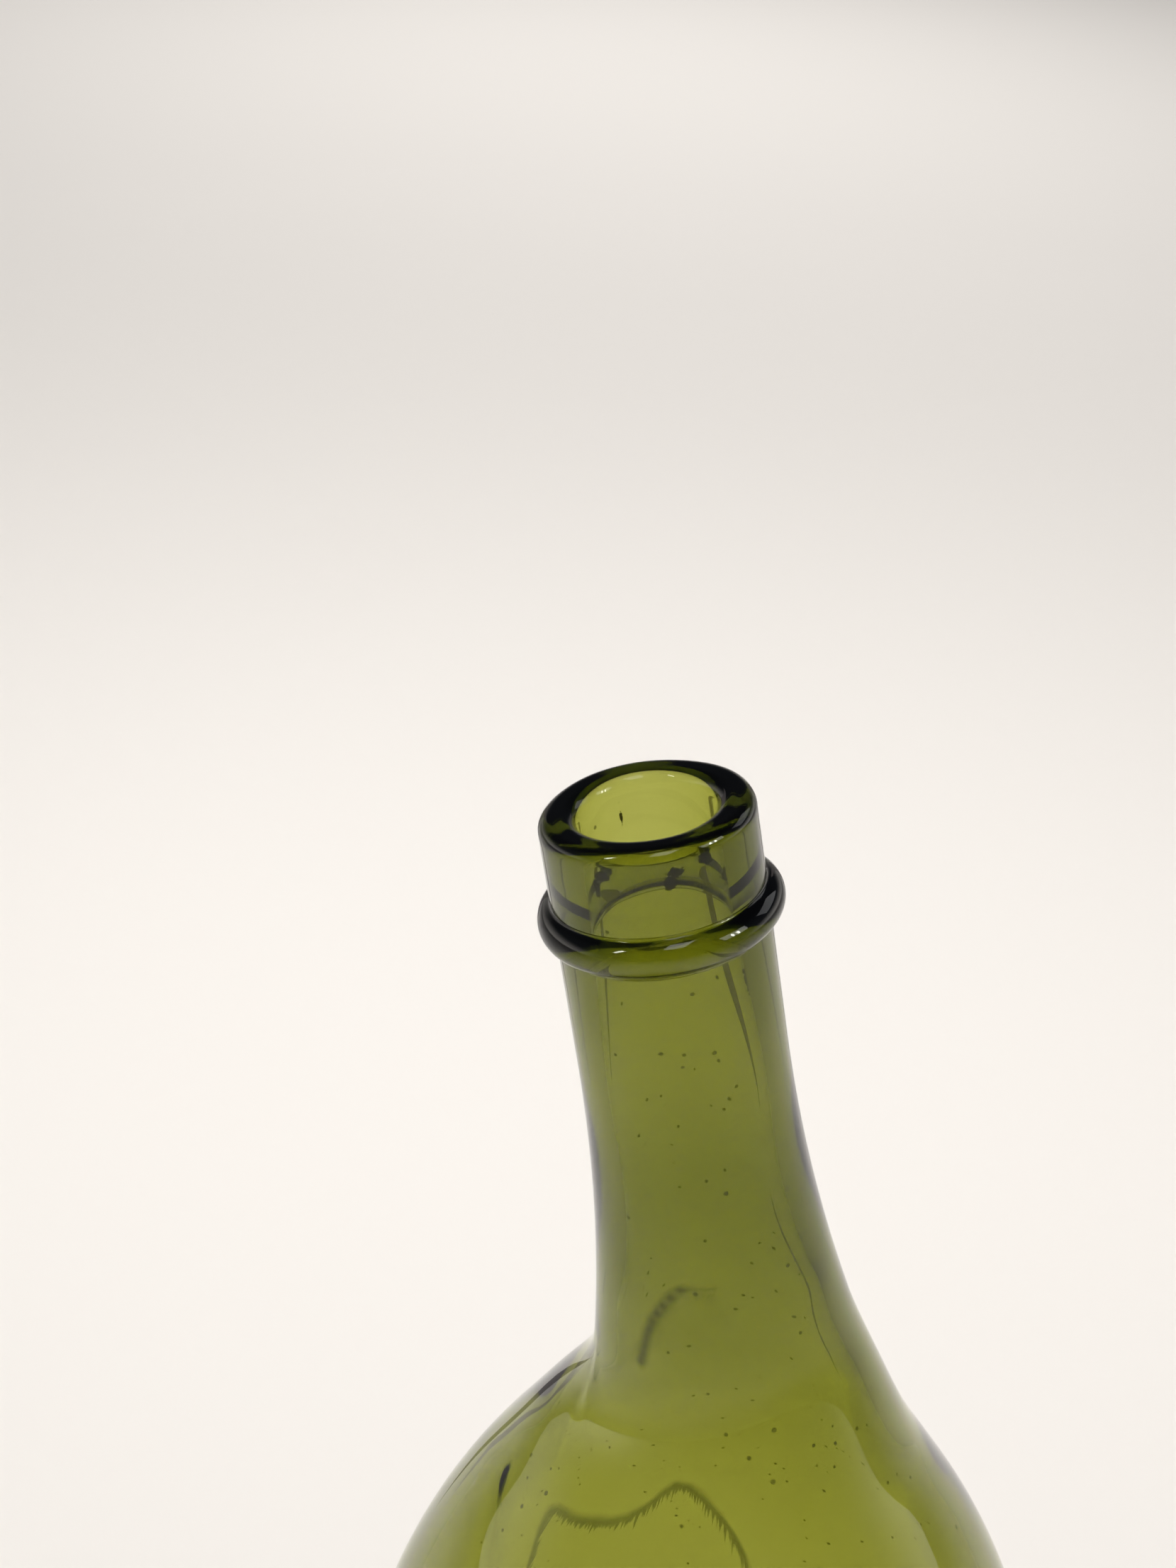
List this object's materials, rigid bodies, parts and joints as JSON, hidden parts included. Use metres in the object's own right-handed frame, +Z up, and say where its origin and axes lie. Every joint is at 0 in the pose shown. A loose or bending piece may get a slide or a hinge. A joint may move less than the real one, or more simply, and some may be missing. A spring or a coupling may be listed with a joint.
{
  "type": "glass bottle",
  "caption": "Hand-blown olive-green glass wine bottle with a round body, sloping shoulder, crooked leaning neck, laid-on string ring, corked mouth and pushed-up base.",
  "frame": {"origin": "centre of the standing ring, on the surface that the bottle stands on", "axes": "+Z up along the axis of the body; the neck leans towards -X in the XZ plane"},
  "size_m": [0.1078, 0.1078, 0.3241],
  "materials": {
    "bottle_glass": "clear olive-green blown glass, glossy, with ripples, cords and seeds",
    "ring_glass": "clear olive-green glass laid on hot, glossy and uneven"
  },
  "bodies": {
    "root": {"bottle_body": "bottle_glass", "string_ring": "ring_glass"}
  },
  "joints": []
}
